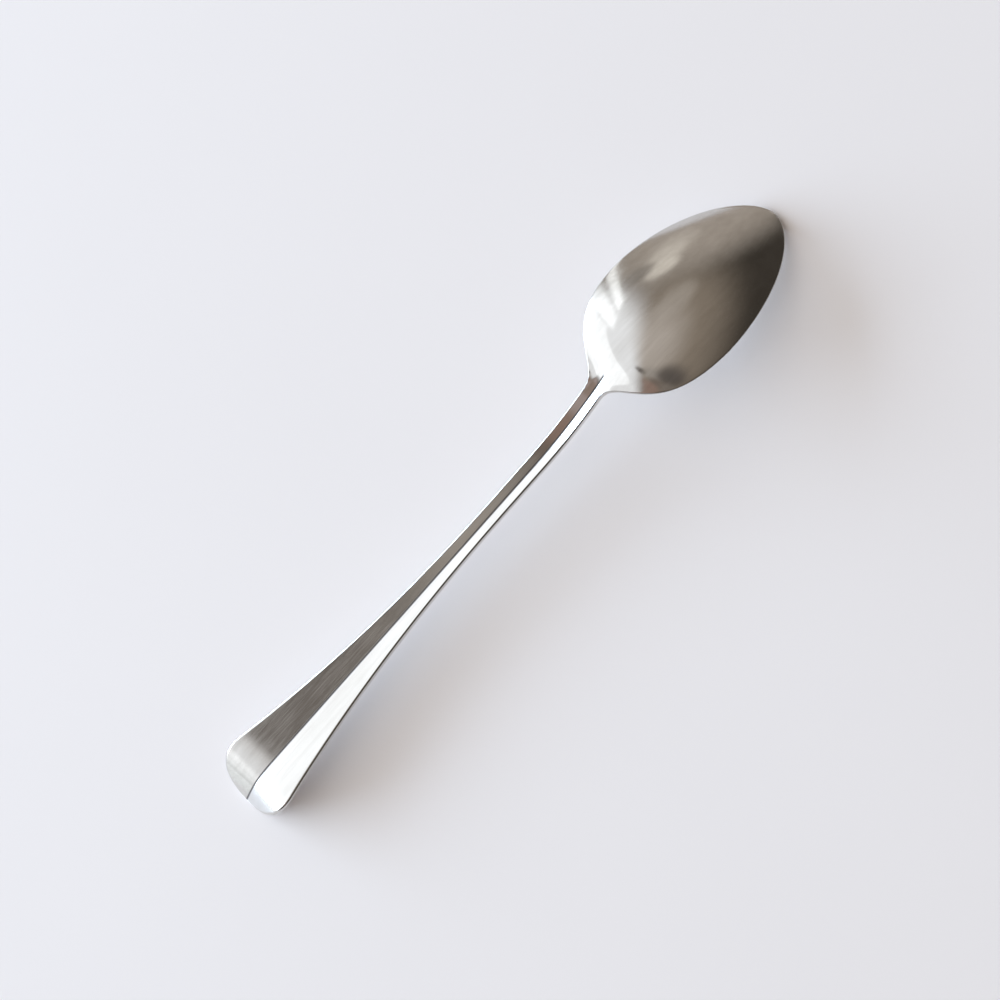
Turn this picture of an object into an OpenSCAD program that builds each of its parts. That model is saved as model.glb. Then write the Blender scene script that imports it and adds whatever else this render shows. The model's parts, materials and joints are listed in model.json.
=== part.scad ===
// Dessert spoon with a grooved back, lying face down with its bowl's back upwards.
// The centre line runs along X, from the end of the handle to the tip of the bowl.
// Five sections follow each other along it. All of them take their shape from the
// same outline and height functions, so neighbours share the section where they meet.

/* [Handle end] */
// Length of the end section, which turns down to the table
end_length = 14; // [12:0.5:20]
// Length over which the end rounds off in plan
end_round = 11; // [8:0.5:12]
// Fullness of the rounded end, where 2 is an ellipse
end_fullness = 2.1; // [1.8:0.1:3]
// Distance of the bend from the end of the handle
bend_place = 6.2; // [4:0.2:8]
// Angle by which the end turns down
bend_angle = 40; // [20:1:45]
// Length over which the bend is eased
bend_ease = 2; // [1:0.25:3]
// Thickness at the end of the handle
end_thick = 1.6; // [1.2:0.1:2.4]

/* [Handle] */
// Length of the grip, the wide section of the handle
grip_length = 38; // [25:1:55]
// Width of the handle where its end starts to round off
handle_width = 19; // [14:0.2:24]
// Length over which the handle tapers to the stem
taper_length = 84; // [60:1:90]
// Slope of the two sides of the groove along the back of the grip
groove_angle = 13; // [6:0.5:18]
// Thickness of the grip along its centre
grip_thick = 1.9; // [1.4:0.1:3]
// Thickness of the grip along its edges
grip_edge = 1.6; // [1.2:0.1:2.6]

/* [Stem and neck] */
// Length of the slender stem
stem_length = 50; // [35:1:70]
// Width of the stem
stem_width = 4.9; // [4:0.1:7]
// Thickness of the stem along its centre
stem_thick = 2.4; // [1.8:0.1:4]
// Thickness of the stem along its edges
stem_edge = 2.1; // [1.5:0.1:3.6]
// Rise of the handle from its end to the neck
stem_rise = 3.1; // [1:0.1:6]
// Length of the neck, which climbs to the bowl
neck_length = 22.5; // [16:0.5:30]
// Rise of the neck above the line of the stem
neck_rise = 4.3; // [2:0.1:6]
// Slope of the two sides of the groove at the heel
neck_groove_angle = 21; // [8:0.5:24]
// Thickness at the heel, where the neck meets the bowl
heel_thick = 2.9; // [2.2:0.1:4.5]
// Thickness of the edges at the heel
heel_edge = 2.3; // [1.6:0.1:4]

/* [Bowl] */
// Length of the bowl from heel to tip
bowl_length = 55.5; // [50:0.5:65]
// Greatest width of the bowl
bowl_width = 32.2; // [26:0.2:40]
// Distance of the greatest width from the heel
wide_place = 25.5; // [22:0.5:30]
// Length over which the heel leaves the line of the neck
flare_start = 7; // [4:0.5:9]
// Reach of the broad shoulder towards the heel
shoulder_reach = 20.8; // [14:0.2:22]
// Fullness of the tip in plan, where 2 is an ellipse
tip_fullness = 1.8; // [1.6:0.1:2.4]
// Height of the rim line at the heel
heel_height = 17.8; // [14:0.2:20]
// Height of the back of the bowl above its rim
bowl_crown = 5; // [3.5:0.1:8]
// Distance of the deepest place from the heel
deep_place = 32.5; // [28:0.5:36]
// Fullness of the bowl's cross-section, where 2 is a parabola
dish_fullness = 2; // [1.8:0.1:2.8]
// Thickness in the middle of the bowl
bowl_thick = 1.8; // [1.3:0.1:2.6]
// Thickness of the rim, measured upright
rim_thick = 1.5; // [1.1:0.1:2.2]

/* [Edges] */
// Bevel along every outer edge
edge_bevel = 0.3; // [0.1:0.05:0.45]
// Depth of the worn flats on which the spoon lies
rest_flat = 0.55; // [0.2:0.05:0.7]

/* [Hidden] */

// Places along the centre line, measured from the end of the handle
stem_place = end_length + grip_length;
neck_place = stem_place + stem_length;
heel_place = neck_place + neck_length;
tip_place = heel_place + bowl_length;
widest = heel_place + wide_place;

// Curve of the taper, of the rise in the neck and of the fall of the rim
taper_power = 2.2;
neck_power = 2.3;
rim_power = 1.6;
// Curve of the dome towards the tip, where 1 is a parabola and more is flatter at the rim
tip_power = 1.25;
// Length of the dome towards the heel, longer than the bowl so that it runs out in the neck
dome_reach = deep_place + 5.5;
// Softness of the turn where the neck's edges and back run into the bowl
edge_blend = 1.2;
crown_blend = 2;
// Length over which the groove opens into the round back of the bowl
groove_fade = 12;
// Length from the heel in which the sheet thins to that of the bowl
heel_fade = 18;
// Half width of the blunt point at either end
nose_half = 0.5;

// Number of steps along each section and across the spoon
end_steps = 30;
end_plain_steps = 4;
grip_steps = 16;
stem_steps = 14;
neck_steps = 16;
flare_steps = 26;
tip_steps = 24;
bowl_across = 32;

steel = [0.72, 0.71, 0.69];

function soft_min(a, b, blend) = (a + b - sqrt(pow(a - b, 2) + blend * blend)) / 2;
function unit(value) = min(1, max(0, value));
function eased(value) = unit(value) * unit(value) * (3 - 2 * unit(value));
function bezier(a, b, c, d, t) =
    pow(1 - t, 3) * a + 3 * pow(1 - t, 2) * t * b + 3 * (1 - t) * t * t * c + t * t * t * d;

// Half width of the handle, without the rounding of its end
function taper_part(x) = pow(max(0, (end_round + taper_length - x) / taper_length), taper_power);
function taper_half(x) = stem_width / 2 + (handle_width - stem_width) / 2 * taper_part(x);

// Height of the groove line along the back, rising from the end to the bowl
function bend_drop(x) = tan(bend_angle) * bend_ease * ln(1 + exp((bend_place - x) / bend_ease));
function groove_z(x) =
    end_thick + bend_drop(0) - bend_drop(x) + stem_rise * x / neck_place
    + neck_rise * pow(max(0, (x - neck_place) / neck_length), neck_power);

// Height of the rim of the bowl and of the crown of its back
function rim_z(x) =
    heel_height - (heel_height - rim_thick) * pow(unit((x - heel_place) / bowl_length), rim_power);
function crown_part(x) =
    x < heel_place + deep_place
    ? 1 - pow((heel_place + deep_place - max(x, heel_place)) / dome_reach, 2)
    : pow(max(0, 1 - pow((x - heel_place - deep_place) / (bowl_length - deep_place), 2)), tip_power);
function dome_z(x) = rim_z(x) + bowl_crown * crown_part(x);

// Slope of the groove's sides, which grow steeper from the grip to the heel
function groove_slope(x) =
    tan(groove_angle)
    + (tan(neck_groove_angle) - tan(groove_angle)) * eased((x - stem_place) / (heel_place - stem_place));

// Height of the outer edge and of the centre of the back, over the whole spoon
function groove_half(x, half) = x < heel_place ? half : taper_half(heel_place);
function edge_z(x, half) =
    soft_min(groove_z(x) + groove_half(x, half) * groove_slope(x), rim_z(x), edge_blend);
function centre_z(x) = soft_min(groove_z(x), dome_z(x), crown_blend);

// The back runs from a straight-sided groove in the handle to a full curve in the bowl
function fullness(x) = 1 + (dish_fullness - 1) * eased((x - heel_place) / groove_fade);

// Upright thickness along the centre and along the edges
function centre_thick(x) = lookup(x, [
    [0, end_thick], [end_length, grip_thick], [stem_place, stem_thick],
    [neck_place, stem_thick], [heel_place, heel_thick], [heel_place + heel_fade, bowl_thick],
    [heel_place + deep_place, bowl_thick], [tip_place, rim_thick]
]);
function edge_thick(x) = lookup(x, [
    [0, end_thick], [end_length, grip_edge], [stem_place, stem_edge],
    [neck_place, stem_edge], [heel_place, heel_edge], [heel_place + heel_fade, rim_thick],
    [tip_place, rim_thick]
]);

// Height of the back or of the face, where side runs from -1 to 1 across the spoon
function across_z(x, side, edge, centre) = edge + (centre - edge) * (1 - pow(abs(side), fullness(x)));
function back_z(x, side, half) = across_z(x, side, edge_z(x, half), centre_z(x));
function face_z(x, side, half) =
    across_z(x, side, edge_z(x, half) - edge_thick(x), centre_z(x) - centre_thick(x));

// A point on its place on the table, centred on the origin, with the worn flats cut
function placed(x, y, z) = [x - tip_place / 2, y, max(0, z - rest_flat)];

// Places across the spoon: the edges and the groove of the handle, and steps that narrow to the rim of the bowl
handle_sides = [-1, 0, 1];
bowl_sides = [
    for (i = [0 : bowl_across])
    let (side = 2 * i / bowl_across - 1)
    (side + sin(90 * side)) / 2
];

// A station is [place, half width, shift of the bevelled faces along X]
function ring(station, sides) =
    let (
        x = station[0],
        half = station[1],
        bevel = min(edge_bevel, 0.4 * half),
        inner = x + station[2],
        flat = half - bevel,
        top = edge_z(x, half) - edge_bevel,
        low = edge_z(x, half) - edge_thick(x) + edge_bevel
    )
    concat(
        [for (side = sides) placed(inner, side * flat, back_z(inner, side, flat))],
        [placed(x, half, top), placed(x, half, low)],
        [for (side = sides) placed(inner, -side * flat, face_z(inner, side, flat))],
        [placed(x, -half, low), placed(x, -half, top)]
    );

// A four-sided face in two triangles
function quad(a, b, c, d) = [[a, b, c], [a, c, d]];

// Faces across a ring, between its back and its face and out to the walls at either edge
function ring_faces(across, count) = [
    for (j = [0 : across - 1]) each quad(j, j + 1, count - 4 - j, count - 3 - j),
    each quad(across, across + 1, across + 2, across + 3),
    each quad(0, count - 3, count - 2, count - 1)
];

// A closed skin through the rings of a section, with a flat face at either end
module loft(stations, sides) {
    across = len(sides) - 1;
    count = 2 * across + 6;
    last = (len(stations) - 1) * count;
    points = [for (station = stations) each ring(station, sides)];
    skin = [
        for (start = [0 : count : last - count], j = [0 : count - 1])
        let (next = (j + 1) % count)
        each quad(start + j, start + next, start + count + next, start + count + j)
    ];
    near_faces = [for (face = ring_faces(across, count)) [face[2], face[1], face[0]]];
    far_faces = [for (face = ring_faces(across, count)) [for (corner = face) last + corner]];
    polyhedron(points, concat(near_faces, skin, far_faces));
}

// Stations of a plain stretch of the handle
function stretch(from, to, steps) = [
    for (i = [0 : steps])
    let (x = from + (to - from) * i / steps)
    [x, taper_half(x), 0]
];

// The end of the handle, rounded in plan and turned down to the table
module handle_end() {
    rounded = [
        for (i = [0 : end_steps])
        let (
            turn = 90 * i / end_steps,
            x = end_round * (1 - pow(cos(turn), 2 / end_fullness)),
            half = taper_half(x) * pow(sin(turn), 2 / end_fullness)
        )
        [x, max(nose_half, half), edge_bevel * pow(cos(turn), 2)]
    ];
    plain = stretch(end_round, end_length, end_plain_steps);
    rest = [for (i = [1 : end_plain_steps]) plain[i]];
    color(steel) loft(concat(rounded, rest), handle_sides);
}

// The wide part of the handle, held in the hand
module grip() {
    color(steel) loft(stretch(end_length, stem_place, grip_steps), handle_sides);
}

// The slender middle of the handle
module stem() {
    color(steel) loft(stretch(stem_place, neck_place, stem_steps), handle_sides);
}

// The climb from the stem to the heel of the bowl
module neck() {
    color(steel) loft(stretch(neck_place, heel_place, neck_steps), handle_sides);
}

// The bowl, from the heel over its shoulders to the tip
module bowl() {
    neck_half = taper_half(heel_place);
    flare = [
        for (i = [0 : flare_steps])
        let (t = i / flare_steps)
        [
            bezier(heel_place, heel_place + flare_start, widest - shoulder_reach, widest, t),
            bezier(neck_half, neck_half, bowl_width / 2, bowl_width / 2, t),
            0
        ]
    ];
    point = [
        for (i = [1 : tip_steps])
        let (
            turn = 90 * i / tip_steps,
            x = widest + (tip_place - widest) * pow(sin(turn), 2 / tip_fullness),
            half = bowl_width / 2 * pow(cos(turn), 2 / tip_fullness)
        )
        [x, max(nose_half, half), -edge_bevel * pow(sin(turn), 2)]
    ];
    color(steel) loft(concat(flare, point), bowl_sides);
}

handle_end();
grip();
stem();
neck();
bowl();
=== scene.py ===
# %% [markdown]
# # A dessert spoon in satin steel, lying face down
# A dessert spoon is one stamping of stainless steel: a bowl, a neck, a slender stem, a grip and an end that
# turns down. The imported CAD model is loaded first and never moved. It gives the true size and place of each
# section, in metres, so nothing has to be fitted by eye. Three small helpers follow. They add an object,
# select it alone, and weld points that lie on each other.

# %% Load the imported spoon
import json
from math import cos, pi, radians, sin, tan

import bpy
from mathutils import Matrix, Vector

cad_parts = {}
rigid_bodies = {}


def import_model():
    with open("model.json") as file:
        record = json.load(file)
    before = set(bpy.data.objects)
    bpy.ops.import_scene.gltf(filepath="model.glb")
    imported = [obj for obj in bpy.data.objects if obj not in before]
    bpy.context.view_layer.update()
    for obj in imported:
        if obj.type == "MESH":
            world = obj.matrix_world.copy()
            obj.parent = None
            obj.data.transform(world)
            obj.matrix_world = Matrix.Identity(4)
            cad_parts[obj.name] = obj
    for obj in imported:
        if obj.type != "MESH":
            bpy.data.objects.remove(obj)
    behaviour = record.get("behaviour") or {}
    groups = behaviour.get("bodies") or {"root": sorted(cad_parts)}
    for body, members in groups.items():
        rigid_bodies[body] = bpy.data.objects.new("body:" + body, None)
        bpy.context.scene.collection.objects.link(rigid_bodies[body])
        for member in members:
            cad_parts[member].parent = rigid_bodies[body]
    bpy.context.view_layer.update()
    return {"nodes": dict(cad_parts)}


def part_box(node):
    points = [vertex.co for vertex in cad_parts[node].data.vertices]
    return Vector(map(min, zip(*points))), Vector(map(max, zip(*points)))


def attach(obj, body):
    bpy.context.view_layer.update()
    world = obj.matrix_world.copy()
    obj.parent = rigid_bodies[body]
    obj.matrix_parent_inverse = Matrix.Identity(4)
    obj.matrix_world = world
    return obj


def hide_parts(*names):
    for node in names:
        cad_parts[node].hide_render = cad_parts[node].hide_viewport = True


def in_mm(metres):
    return round(1000 * metres, 3)


bpy.ops.object.select_all(action="SELECT")
bpy.ops.object.delete()
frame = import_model()
print("sections:", sorted(frame["nodes"]))

# %% Helpers for objects
WELD = 0.000003


def add_object(name, data):
    thing = bpy.data.objects.new(name, data)
    bpy.context.scene.collection.objects.link(thing)
    return thing


def select_only(thing):
    bpy.ops.object.select_all(action="DESELECT")
    thing.select_set(True)
    bpy.context.view_layer.objects.active = thing


def weld(thing):
    select_only(thing)
    bpy.ops.object.mode_set(mode="EDIT")
    bpy.ops.mesh.select_all(action="SELECT")
    bpy.ops.mesh.remove_doubles(threshold=WELD)
    bpy.ops.object.mode_set(mode="OBJECT")


# %% [markdown]
# ## The camera
# The photograph looks down on the spoon from 72 degrees above the table, with the camera turned about its own
# axis so that the spoon runs from the lower left to the upper right. A camera can be aimed with a Track To
# constraint, but a turned camera is easier to write as three directions: right, up and back. They are the
# columns of its matrix.

# %% Aim the camera
ELEVATION = radians(72)
AZIMUTH = radians(29.23)
TURN = radians(76)
AIM = Vector((0.00104, 0.00336, -0.0003))
DISTANCE = 0.62
LENS = 98.81
SENSOR_WIDTH = 36
NEAREST = 0.01

camera_back = Vector((sin(AZIMUTH) * cos(ELEVATION), -cos(AZIMUTH) * cos(ELEVATION), sin(ELEVATION)))
level_right = Vector((cos(AZIMUTH), sin(AZIMUTH), 0))
level_up = camera_back.cross(level_right)
camera_right = cos(TURN) * level_right - sin(TURN) * level_up
camera_up = sin(TURN) * level_right + cos(TURN) * level_up
camera_place = AIM + DISTANCE * camera_back

camera = add_object("camera", bpy.data.cameras.new("camera"))
camera.data.lens = LENS
camera.data.sensor_width = SENSOR_WIDTH
camera.data.clip_start = NEAREST
camera.matrix_world = Matrix((camera_right, camera_up, camera_back)).transposed().to_4x4()
camera.location = camera_place
bpy.context.scene.camera = camera
print("camera at", [round(value, 3) for value in camera_place])

# %% [markdown]
# ## Reading the rings
# The CAD sections are lofts: rings of points, one behind another, joined by triangles. Steel shows every
# facet in what it mirrors, so the flat triangles can't be used as they are. Here the rings are read back from
# a welded copy of each section. Starting from the ring at a seam, the triangle on each edge of a ring has its
# third corner on the next ring, so the whole loft can be walked from one end to the other.

# %% Weld a copy of a section
def welded_copy(name):
    copy = add_object(name + "_copy", frame["nodes"][name].data.copy())
    weld(copy)
    return copy


# %% Find the ring at a seam, in order: back, left wall, face, right wall
SAME_Y_DIGITS = 6


def seam_ring(mesh, place):
    corners = [corner for corner in mesh.vertices if abs(corner.co.x - place) < WELD]
    reach = max(abs(corner.co.y) for corner in corners) - WELD
    inner = [corner for corner in corners if abs(corner.co.y) < reach]
    inner.sort(key=lambda corner: (round(corner.co.y, SAME_Y_DIGITS), corner.co.z))
    left_wall = [corner for corner in corners if corner.co.y >= reach]
    left_wall.sort(key=lambda corner: -corner.co.z)
    right_wall = [corner for corner in corners if corner.co.y <= -reach]
    right_wall.sort(key=lambda corner: corner.co.z)
    ring = inner[1::2] + left_wall + inner[-2::-2] + right_wall
    return [corner.index for corner in ring]


# %% Walk from ring to ring along a section
def walk_rings(mesh, first, towards_tip):
    third_corners = {}
    for face in mesh.polygons:
        a, b, c = face.vertices
        for edge, corner in (((a, b), c), ((b, c), a), ((c, a), b)):
            third_corners.setdefault(frozenset(edge), []).append(corner)
    seen = set(first)
    found = [first]
    while True:
        last = found[-1]
        ring = []
        for corner, neighbour in zip(last, last[1:] + last[:1]):
            edge = frozenset((corner, neighbour))
            ring += [other for other in third_corners[edge] if other not in seen]
        if len(ring) < len(last):
            break
        if towards_tip:
            ring = ring[-1:] + ring[:-1]
        seen.update(ring)
        found.append(ring)
    return [[mesh.vertices[index].co.copy() for index in ring] for ring in found]


# %% Read every section from the end of the handle to the tip
SECTIONS = ["handle_end", "grip", "stem", "neck", "bowl"]
seams = [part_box(name)[0].x for name in SECTIONS[1:]]
heel_place = seams[-1]
section_rings = {}
for name in SECTIONS:
    copy = welded_copy(name)
    towards_tip = name != "handle_end"
    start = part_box(name)[0].x if towards_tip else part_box(name)[1].x
    found = walk_rings(copy.data, seam_ring(copy.data, start), towards_tip)
    section_rings[name] = found if towards_tip else found[::-1]
    bpy.data.objects.remove(copy)
    print(name, "has", len(found), "rings of", len(found[0]), "points")

# %% [markdown]
# ## One cage for the whole spoon
# The bowl has many points across and the handle only three, an edge, the groove and an edge, because the two
# sides of its groove are straight. To make one smooth surface over all sections, each ring of the handle gets
# points on those straight lines, spaced as on the bowl's first ring. Then all rings follow each other in one
# mesh of four-sided faces.

# %% Divide a ring into its back, left wall, face and right wall
WALL_POINTS = 2


def parts_of(ring):
    half = len(ring) // 2
    across = half - WALL_POINTS
    return ring[:across], ring[across:half], ring[half:half + across], ring[half + across:]


# %% Give the handle as many points across as the bowl
heel_ring = section_rings["bowl"][0]
heel_back = parts_of(heel_ring)[0]
shares = [point.y / heel_back[-1].y for point in heel_back]


def spread(start, middle, end):
    return [middle.lerp(start, -share) if share < 0 else middle.lerp(end, share) for share in shares]


def full_ring(ring):
    back, left_wall, face, right_wall = parts_of(ring)
    return spread(*back) + left_wall + spread(*face) + right_wall


rings = [full_ring(section_rings["handle_end"][0])]
for name in SECTIONS[:-1]:
    rings += [full_ring(ring) for ring in section_rings[name][1:]]
gap = max((mine - theirs).length for mine, theirs in zip(rings[-1], heel_ring))
rings += section_rings["bowl"][1:]
print(len(rings), "rings, gap at the heel", in_mm(gap), "mm")

# %% [markdown]
# ## Rounded edges
# Stamped cutlery is tumbled and polished until its edges are round, by about half a millimetre. The thin
# bright line on one side of the handle and the dark one on the other are what these round edges mirror. The
# CAD has only a small bevel there. Ending the back and the face a little further from the edge, and the walls
# a little further from both, lets the smoothing make a larger round. A Bevel modifier could do it too, but it
# would also act on the groove.

# %% End a row of points further from the edges
EDGE_ROUND = 0.0002
LARGEST_CUT = 0.4


def height_at(row, y):
    for here, beyond in zip(row, row[1:]):
        if min(here.y, beyond.y) <= y <= max(here.y, beyond.y):
            share = (y - here.y) / (beyond.y - here.y) if beyond.y != here.y else 0
            return here.z + share * (beyond.z - here.z)
    return row[-1].z


def shortened(row, amount):
    kept = 1 - min(LARGEST_CUT, amount / abs(row[0].y))
    return [Vector((point.x, kept * point.y, height_at(row, kept * point.y))) for point in row]


# %% [markdown]
# The rim of the bowl is cut square to the sheet, so below its outer edge it falls back inwards. From above
# hardly any of its wall shows. The lower point of each wall is raised almost to the upper one there, and the
# outer edge stays as sharp as in the CAD. At the tip the wall looks along X, so the face and the lower points
# step back there, and the upper ones rise, so that the back keeps its slope as far as the edge.

# %% Round the edges of every ring
HANDLE_WALL_CUTS = (0.2, 0.2)
BOWL_WALL_CUTS = (-0.1, 0.8)
WALL_FADE = 0.012
TIP_STEP = 0.0006
TIP_RISE = 0.25
TIP_REACH = 0.008
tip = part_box("bowl")[1].x


def limited(value):
    return min(1, max(0, value))


def rounder(ring):
    in_bowl = limited((ring[0].x - heel_place) / WALL_FADE)
    at_tip = limited(1 - (tip - ring[0].x) / TIP_REACH)
    step_back = Vector((TIP_STEP * at_tip, 0, 0))
    top_cut, low_cut = [
        handle_cut + in_bowl * (bowl_cut - handle_cut)
        for handle_cut, bowl_cut in zip(HANDLE_WALL_CUTS, BOWL_WALL_CUTS)
    ]
    top_cut -= TIP_RISE * at_tip
    back, (left_top, left_low), face, (right_low, right_top) = parts_of(ring)
    back = shortened(back, EDGE_ROUND * (1 - in_bowl))
    left_wall = [left_top.lerp(left_low, top_cut), left_low.lerp(left_top, low_cut) - step_back]
    face = [point - step_back for point in shortened(face, EDGE_ROUND)]
    right_wall = [right_low.lerp(right_top, low_cut) - step_back, right_top.lerp(right_low, top_cut)]
    return back + left_wall + face + right_wall


rings = [rounder(ring) for ring in rings]
print("edges rounded by a further", in_mm(EDGE_ROUND), "mm")

# %% [markdown]
# ## The end of the groove
# On the real spoon the groove stays sharp for a few millimetres past the heel and then stops short, with a
# small bright hollow at its end. The CAD lets it fade at the heel. Here the middle of the rings there is
# lowered to a narrow V, which grows along the neck and ends in the bowl.

# %% Carry the groove past the heel
NOTCH_DEPTH = 0.00024
NOTCH_HALF = 0.0014
NOTCH_STOP = 0.0018
notch_start = heel_place - 0.003
notch_full = heel_place + 0.002
groove_end = heel_place + 0.0055


def eased(value):
    share = limited(value)
    return share * share * (3 - 2 * share)


notched = 0
for ring in rings:
    grow = eased((ring[0].x - notch_start) / (notch_full - notch_start))
    stop = eased((groove_end - ring[0].x) / NOTCH_STOP)
    for point in parts_of(ring)[0]:
        depth = NOTCH_DEPTH * grow * stop * max(0, 1 - abs(point.y) / NOTCH_HALF)
        point.z -= depth
        notched += depth > 0
print(notched, "points lowered for the end of the groove")

# %% [markdown]
# ## Closed ends
# The first and the last ring of the CAD are about a millimetre wide, and between their two walls is a shallow
# slot. On the real spoon the edge runs round both ends without a break. Here the points of these two rings
# move to Y = 0, where the walls meet, and the points that then lie on each other are merged before the
# smoothing.

# %% Bring the walls together at both ends
for ring in (rings[0], rings[-1]):
    back, left_wall, face, right_wall = parts_of(ring)
    for row in (back, face):
        centre = row[len(row) // 2].copy()
        for point in row:
            point.xyz = (centre.x, 0, centre.z)
    for point in left_wall + right_wall:
        point.y = 0
    print("end closed at", in_mm(left_wall[0].x), "mm")

# %% Build the cage
count = len(heel_ring)
points = [point for ring in rings for point in ring]
faces = []
for start in range(0, (len(rings) - 1) * count, count):
    for here in range(count):
        beside = (here + 1) % count
        faces.append((start + here, start + beside, start + count + beside, start + count + here))
cage_mesh = bpy.data.meshes.new("spoon_cage")
cage_mesh.from_pydata(points, [], faces)
cage = add_object("spoon_cage", cage_mesh)
print("cage of", len(faces), "faces")

# %% [markdown]
# ## Creases and smoothing
# A Subdivision Surface rounds everything, which suits the rims and edges of a tumbled stamping. The groove
# along the back was struck by a die and stays crisp, so its edges get a full crease. The crease ends a few
# millimetres past the heel, where the groove stops in the bowl. The ridge on the face is the groove's other
# side, and it is softer.

# %% Crease the groove and the ridge
GROOVE_CREASE = 1
RIDGE_CREASE = 0.6
groove_lane = len(heel_back) // 2
ridge_lane = count // 2 + groove_lane
crease = cage_mesh.attributes.new("crease_edge", "FLOAT", "EDGE")
sharp = cage_mesh.attributes.new("sharp_edge", "BOOLEAN", "EDGE")
creased = 0
for edge in cage_mesh.edges:
    lanes = {index % count for index in edge.vertices}
    furthest = max(cage_mesh.vertices[index].co.x for index in edge.vertices)
    if lanes == {groove_lane} and furthest < groove_end:
        crease.data[edge.index].value = GROOVE_CREASE
        sharp.data[edge.index].value = True
        creased += 1
    if lanes == {ridge_lane} and furthest < heel_place:
        crease.data[edge.index].value = RIDGE_CREASE
        creased += 1
print(creased, "creased edges")

# %% Smooth the cage
SMOOTHING_LEVELS = 2
weld(cage)
bpy.ops.object.mode_set(mode="EDIT")
bpy.ops.mesh.normals_make_consistent(inside=False)
bpy.ops.object.mode_set(mode="OBJECT")
smoothing = cage.modifiers.new("smoothing", "SUBSURF")
smoothing.levels = SMOOTHING_LEVELS
smoothing.render_levels = SMOOTHING_LEVELS
bpy.ops.object.modifier_apply(modifier=smoothing.name)
print("smooth skin of", len(cage.data.polygons), "faces")

# %% [markdown]
# ## The satin steel
# Table spoons are finished on brush wheels that run along the spoon, which leaves fine lines from end to end.
# They blur what the steel mirrors across the lines more than along them. A noise that is stretched along X
# makes these lines, as a bump and in the roughness. Wider streaks of wear run the same way and change its
# tone a little, and larger, faint clouds are traces of hands and of washing.

# %% Helpers for noises and ranges
def new_material(name):
    material = bpy.data.materials.new(name)
    material.use_nodes = True
    tree = material.node_tree
    return material, tree, tree.nodes["Principled BSDF"]


def stretched_noise(tree, coordinates, scale, detail, roughness):
    mapping = tree.nodes.new("ShaderNodeMapping")
    mapping.inputs["Scale"].default_value = scale
    noise = tree.nodes.new("ShaderNodeTexNoise")
    noise.inputs["Scale"].default_value = 1
    noise.inputs["Detail"].default_value = detail
    noise.inputs["Roughness"].default_value = roughness
    tree.links.new(coordinates, mapping.inputs["Vector"])
    tree.links.new(mapping.outputs["Vector"], noise.inputs["Vector"])
    return noise.outputs["Fac"]


def map_range(tree, value, from_range, to_range):
    ranged = tree.nodes.new("ShaderNodeMapRange")
    limits = (*from_range, *to_range)
    for name, limit in zip(("From Min", "From Max", "To Min", "To Max"), limits):
        ranged.inputs[name].default_value = limit
    tree.links.new(value, ranged.inputs["Value"])
    return ranged.outputs["Result"]


# %% Helpers for sums and colours
def calculate(tree, operation, first, second=0):
    sums = tree.nodes.new("ShaderNodeMath")
    sums.operation = operation
    for socket, value in zip(sums.inputs, (first, second)):
        if isinstance(value, (int, float)):
            socket.default_value = value
        else:
            tree.links.new(value, socket)
    return sums.outputs["Value"]


def mix_colours(tree, first, second, factor):
    mix = tree.nodes.new("ShaderNodeMix")
    mix.data_type = "RGBA"
    for letter, colour in (("A", first), ("B", second)):
        if isinstance(colour, tuple):
            mix.inputs[letter].default_value = (*colour, 1)
        else:
            tree.links.new(colour, mix.inputs[letter])
    tree.links.new(factor, mix.inputs["Factor"])
    return mix.outputs["Result"]


# %% Make the steel
steel, tree, shader = new_material("satin_steel")
shader.inputs["Metallic"].default_value = 1
coordinates = tree.nodes.new("ShaderNodeTexCoord").outputs["Object"]
fine_lines = stretched_noise(tree, coordinates, scale=(30, 4200, 4200), detail=3, roughness=0.6)
broad_lines = stretched_noise(tree, coordinates, scale=(18, 1300, 1300), detail=2, roughness=0.5)
streaks = stretched_noise(tree, coordinates, scale=(22, 620, 620), detail=5, roughness=0.65)
clouds = stretched_noise(tree, coordinates, scale=(70, 160, 160), detail=4, roughness=0.55)
print("four noises for the brushing, the wear and the clouds")

# %% [markdown]
# A thin dark line is drawn into the colour along the bottom of the groove. The mask is a narrow band round
# Y = 0 on faces that look up, as far as the end of the groove.

# %% Darken the bottom of the groove
GROOVE_LINE_HALF = 0.00016
GROOVE_LINE_FADE = 0.00014
GROOVE_LINE_END_FADE = 0.001
LOOKS_UP = (0.2, 0.4)
axes = tree.nodes.new("ShaderNodeSeparateXYZ")
tree.links.new(coordinates, axes.inputs["Vector"])
facing_axes = tree.nodes.new("ShaderNodeSeparateXYZ")
tree.links.new(tree.nodes.new("ShaderNodeNewGeometry").outputs["Normal"], facing_axes.inputs["Vector"])
offset = calculate(tree, "ABSOLUTE", axes.outputs["Y"])
in_groove = map_range(tree, offset, (GROOVE_LINE_HALF, GROOVE_LINE_HALF + GROOVE_LINE_FADE), (1, 0))
before_end = map_range(tree, axes.outputs["X"], (groove_end - GROOVE_LINE_END_FADE, groove_end), (1, 0))
looks_up = map_range(tree, facing_axes.outputs["Z"], LOOKS_UP, (0, 1))
# The mask of the dark line drawn along the bottom of the groove.
groove_line = calculate(tree, "MULTIPLY", calculate(tree, "MULTIPLY", in_groove, before_end), looks_up)
print("groove line", in_mm(2 * GROOVE_LINE_HALF), "mm wide")

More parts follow.
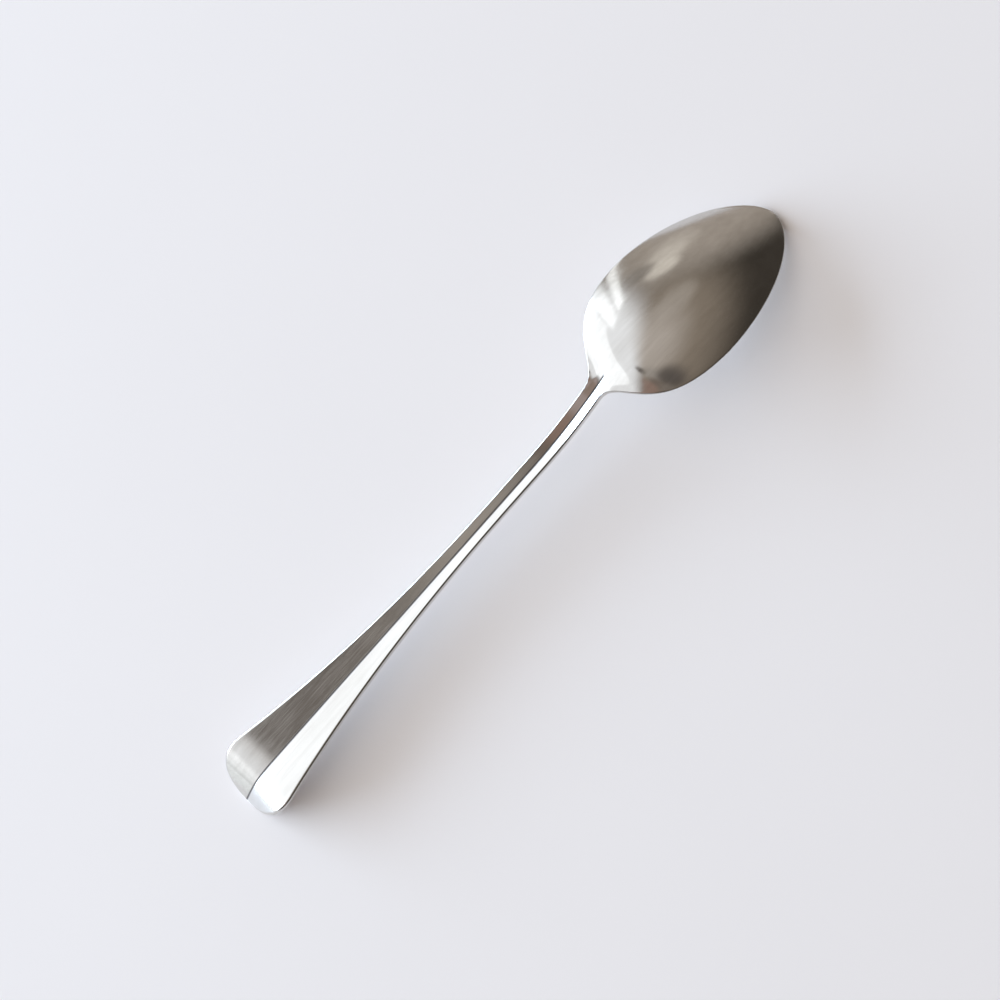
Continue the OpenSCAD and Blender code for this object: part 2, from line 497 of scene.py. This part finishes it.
# %% Mix the colour of the steel
DARK_STEEL = (0.60, 0.58, 0.555)
LIGHT_STEEL = (0.73, 0.715, 0.695)
GROOVE_LINE_COLOUR = (0.05, 0.035, 0.03)
GROOVE_LINE_STRENGTH = 0.85
CLOUD_SHARE = (0, 0.45)
STREAK_SHARE = (0, 0.55)
NOISE_MIDDLE = (0.3, 0.7)
cloudy = map_range(tree, clouds, NOISE_MIDDLE, CLOUD_SHARE)
streaky = map_range(tree, streaks, NOISE_MIDDLE, STREAK_SHARE)
clean = mix_colours(tree, DARK_STEEL, LIGHT_STEEL, calculate(tree, "ADD", cloudy, streaky))
# Darken the colour in a thin line along the bottom of the groove.
with_groove_line = mix_colours(tree, clean, GROOVE_LINE_COLOUR, calculate(tree, "MULTIPLY", groove_line, GROOVE_LINE_STRENGTH))
tree.links.new(with_groove_line, shader.inputs["Base Color"])
print("colour mixed from two greys and the line in the groove")

# %% Set the gloss
LINE_ROUGHNESS = (0.08, 0.15)
CLOUD_MIDDLE = (0.35, 0.75)
CLOUD_ROUGHNESS = (0, 0.04)
GROOVE_LINE_ROUGHNESS = 0.4
line_roughness = map_range(tree, fine_lines, NOISE_MIDDLE, LINE_ROUGHNESS)
cloud_roughness = map_range(tree, clouds, CLOUD_MIDDLE, CLOUD_ROUGHNESS)
polish = calculate(tree, "ADD", line_roughness, cloud_roughness)
groove_line_roughness = calculate(tree, "MULTIPLY", groove_line, GROOVE_LINE_ROUGHNESS)
tree.links.new(calculate(tree, "ADD", polish, groove_line_roughness), shader.inputs["Roughness"])
print("roughness of the lines", LINE_ROUGHNESS)

# %% Brush the surface
BRUSH_DEPTH = 0.000002
bump = tree.nodes.new("ShaderNodeBump")
bump.inputs["Strength"].default_value = 1
bump.inputs["Distance"].default_value = BRUSH_DEPTH
tree.links.new(calculate(tree, "ADD", fine_lines, broad_lines), bump.inputs["Height"])
tree.links.new(bump.outputs["Normal"], shader.inputs["Normal"])
print(steel.name, "has", len(tree.nodes), "nodes")

# %% [markdown]
# ## The five sections
# The whole skin is smooth over the seams now. Each section of the CAD gets its own piece of it: a copy that
# is cut at the seams with Bisect, which also fills the cut, so each piece is closed. Sharp edges stay only at
# the groove and round the cuts.

# %% Cut the skin into its sections
CUT_MERGE = 0.00001
SMOOTH_BELOW = radians(40)


def cut_skin(name, from_place, to_place):
    select_only(cage)
    bpy.ops.object.duplicate()
    piece = bpy.context.active_object
    piece.name = name
    piece.data.name = name
    bpy.ops.object.mode_set(mode="EDIT")
    for place, keep_after in ((from_place, True), (to_place, False)):
        if place is None:
            continue
        bpy.ops.mesh.select_all(action="SELECT")
        bpy.ops.mesh.bisect(
            plane_co=(place, 0, 0),
            plane_no=(1, 0, 0),
            use_fill=True,
            clear_inner=keep_after,
            clear_outer=not keep_after,
            threshold=CUT_MERGE,
        )
    bpy.ops.object.mode_set(mode="OBJECT")
    bpy.ops.object.shade_smooth_by_angle(angle=SMOOTH_BELOW, keep_sharp_edges=True)
    piece.data.materials.clear()
    piece.data.materials.append(steel)
    return piece


# %% Put the sections in place of the CAD nodes
for name, from_place, to_place in zip(SECTIONS, [None] + seams, seams + [None]):
    piece = cut_skin("spoon_" + name, from_place, to_place)
    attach(piece, "root")
    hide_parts(name)
    piece.data.calc_loop_triangles()
    print(piece.name, "has", len(piece.data.loop_triangles), "triangles")
bpy.data.objects.remove(cage)

# %% [markdown]
# ## The floor
# The spoon lies on a plain, pale, smooth surface. A plane is enough for it. Its finish is matt, with a faint
# unevenness in its tint and gloss, so that it keeps a soft shadow and mirrors nothing.

# %% Make the floor's finish
FLOOR_TINTS = ((0.901, 0.839, 0.812), (0.933, 0.870, 0.842))
FLOOR_ROUGHNESS = (0.55, 0.65)
FLOOR_SHEEN = 0.2
pale, tree, shader = new_material("pale_floor")
coordinates = tree.nodes.new("ShaderNodeTexCoord").outputs["Object"]
unevenness = stretched_noise(tree, coordinates, scale=(9, 9, 9), detail=3, roughness=0.5)
tree.links.new(mix_colours(tree, *FLOOR_TINTS, unevenness), shader.inputs["Base Color"])
tree.links.new(map_range(tree, unevenness, NOISE_MIDDLE, FLOOR_ROUGHNESS), shader.inputs["Roughness"])
shader.inputs["Specular IOR Level"].default_value = FLOOR_SHEEN
print(pale.name, "has", len(tree.nodes), "nodes")

# %% Lay the floor
FLOOR_SIZE = 8
FLOOR_GAP = 0.00002
bpy.ops.object.select_all(action="DESELECT")
bpy.ops.mesh.primitive_plane_add(size=FLOOR_SIZE, location=(0, 0, 0))
floor = bpy.context.active_object
floor.name = "floor"
for corner in floor.data.vertices:
    corner.co.z = -FLOOR_GAP
floor.data.materials.append(pale)
print("floor", FLOOR_SIZE, "m wide")

# %% [markdown]
# ## The light
# Steel has hardly any colour of its own: it shows what stands round it. At the left of the picture, beyond
# the spoon, soft upright panels stand side by side like the panes of a wide window. One side of the groove
# and the heel of the bowl mirror them and turn white, with the gaps between panes as thin lines. The pane of
# sky low above the table is far brighter than the rest. Its light falls at about 20 degrees and makes the
# soft shadow that lies apart from the raised stem. Area lamps are used, because they light the floor as well
# as they are mirrored.

# %% Stand up the panels
PANEL_PLANE = radians(140)
PANEL_DISTANCE = 2.2
DAYLIGHT = (0.90, 0.96, 1.0)
SKYLIGHT = (0.62, 0.795, 1.0)
facing = Vector((cos(PANEL_PLANE), sin(PANEL_PLANE), 0))
sideways = Vector((-sin(PANEL_PLANE), cos(PANEL_PLANE), 0))


def add_panel(name, azimuths, elevations, radiance, colour):
    low, high = [PANEL_DISTANCE * tan(radians(azimuth) - PANEL_PLANE) for azimuth in azimuths]
    bottom, top = [PANEL_DISTANCE * tan(radians(elevation)) for elevation in elevations]
    lamp = bpy.data.lights.new(name, "AREA")
    lamp.shape = "RECTANGLE"
    lamp.size = high - low
    lamp.size_y = top - bottom
    lamp.energy = radiance * pi * lamp.size * lamp.size_y
    lamp.color = colour
    panel = add_object(name, lamp)
    foot = PANEL_DISTANCE * facing + (low + high) / 2 * sideways
    panel.location = foot + Vector((0, 0, (bottom + top) / 2))
    panel.rotation_euler = facing.to_track_quat("Z", "Y").to_euler()
    print(name, round(lamp.size, 2), "m wide and", round(lamp.size_y, 2), "m tall")


add_panel("narrow_panel", azimuths=(76, 80.5), elevations=(0, 63), radiance=1.1, colour=DAYLIGHT)
add_panel("middle_panel", azimuths=(83.5, 94), elevations=(0, 63), radiance=0.6, colour=DAYLIGHT)
add_panel("wide_panel", azimuths=(96, 187), elevations=(27, 54), radiance=0.42, colour=DAYLIGHT)
add_panel("low_panel", azimuths=(96, 156), elevations=(8, 27), radiance=15, colour=SKYLIGHT)
add_panel("side_panel", azimuths=(156, 187), elevations=(13, 27), radiance=0.65, colour=DAYLIGHT)
add_panel("sill_panel", azimuths=(96, 172), elevations=(0, 8), radiance=0.3, colour=DAYLIGHT)
add_panel("corner_panel", azimuths=(172, 187), elevations=(0, 13), radiance=1.1, colour=DAYLIGHT)

# %% [markdown]
# ## The room
# Everything else that the steel mirrors is a dim, warm room. The world gives it, as a dark brown that is
# lighter overhead. Over it lie soft round patches: a large pale glow round the panels, a pale wall beyond the
# tip with a brighter strip on it, and dark and warm patches on the near side, which the grip and the neck
# mirror. A patch is a direction with a soft edge, so a dot product makes it.

# %% Helpers for the patches
world = bpy.data.worlds.new("dim_warm_room")
bpy.context.scene.world = world
world.use_nodes = True
tree = world.node_tree
view_direction = tree.nodes.new("ShaderNodeTexCoord").outputs["Generated"]


def towards(azimuth, elevation):
    flat = cos(radians(elevation))
    return Vector((flat * cos(radians(azimuth)), flat * sin(radians(azimuth)), sin(radians(elevation))))


def soft_step(direction, low, high):
    lean = tree.nodes.new("ShaderNodeVectorMath")
    lean.operation = "DOT_PRODUCT"
    lean.inputs[1].default_value = direction
    tree.links.new(view_direction, lean.inputs[0])
    soft = tree.nodes.new("ShaderNodeMapRange")
    soft.interpolation_type = "SMOOTHSTEP"
    soft.inputs["From Min"].default_value = low
    soft.inputs["From Max"].default_value = high
    tree.links.new(lean.outputs["Value"], soft.inputs["Value"])
    return soft.outputs["Result"]


def spot(azimuth, elevation, inner, outer):
    return soft_step(towards(azimuth, elevation), cos(radians(outer)), cos(radians(inner)))


# %% [markdown]
# Each patch has a colour, a direction as azimuth and elevation, and the angles from that direction at which
# it starts to fade and is gone. A later patch lies over the earlier ones.

# %% Paint the room
DARK_ROOM = (0.055, 0.047, 0.039)
PATCHES = {
    "lighter ceiling": ((0.31, 0.26, 0.21), (0, 90), (20, 68)),
    "pale wall": ((0.45, 0.40, 0.35), (48, 5), (8, 54)),
    "foot of the strip": ((0.60, 0.55, 0.49), (56, 13), (2, 11)),
    "middle of the strip": ((0.74, 0.69, 0.62), (57.5, 21), (2, 10)),
    "head of the strip": ((0.84, 0.79, 0.71), (57.5, 31.5), (3, 9)),
    "shade beside the strip": ((0.31, 0.28, 0.25), (69, 28), (2.5, 7.5)),
    "light above the wall": ((0.43, 0.385, 0.335), (28, 61), (2, 14)),
    "light overhead": ((0.55, 0.50, 0.45), (0, 90), (2, 34)),
    "glow round the panels": ((1.08, 1.11, 1.15), (135, 40), (37.5, 53.5)),
    "high light on the near side": ((0.42, 0.385, 0.35), (237, 66), (3, 11)),
    "large dark on the near side": ((0.12, 0.105, 0.095), (264, 58), (1, 14)),
    "small dark overhead": ((0.16, 0.14, 0.125), (210, 69), (0.5, 6.5)),
    "high brown": ((0.21, 0.17, 0.145), (234, 56.5), (2, 8)),
    "middle brown": ((0.23, 0.20, 0.175), (246, 47), (2, 10)),
    "low warm": ((0.35, 0.27, 0.23), (216, 29), (6, 14)),
    "high warm": ((0.33, 0.23, 0.19), (220, 49), (4, 11)),
    "light between the warm ones": ((0.47, 0.39, 0.37), (207, 38), (3, 9)),
}
room = DARK_ROOM
for colour, direction, edges in PATCHES.values():
    room = mix_colours(tree, room, colour, spot(*direction, *edges))
background = tree.nodes["Background"]
tree.links.new(room, background.inputs["Color"])
background.inputs["Strength"].default_value = 1
bpy.context.scene.view_settings.view_transform = "Standard"
print("room of", len(PATCHES), "patches:", ", ".join(PATCHES))
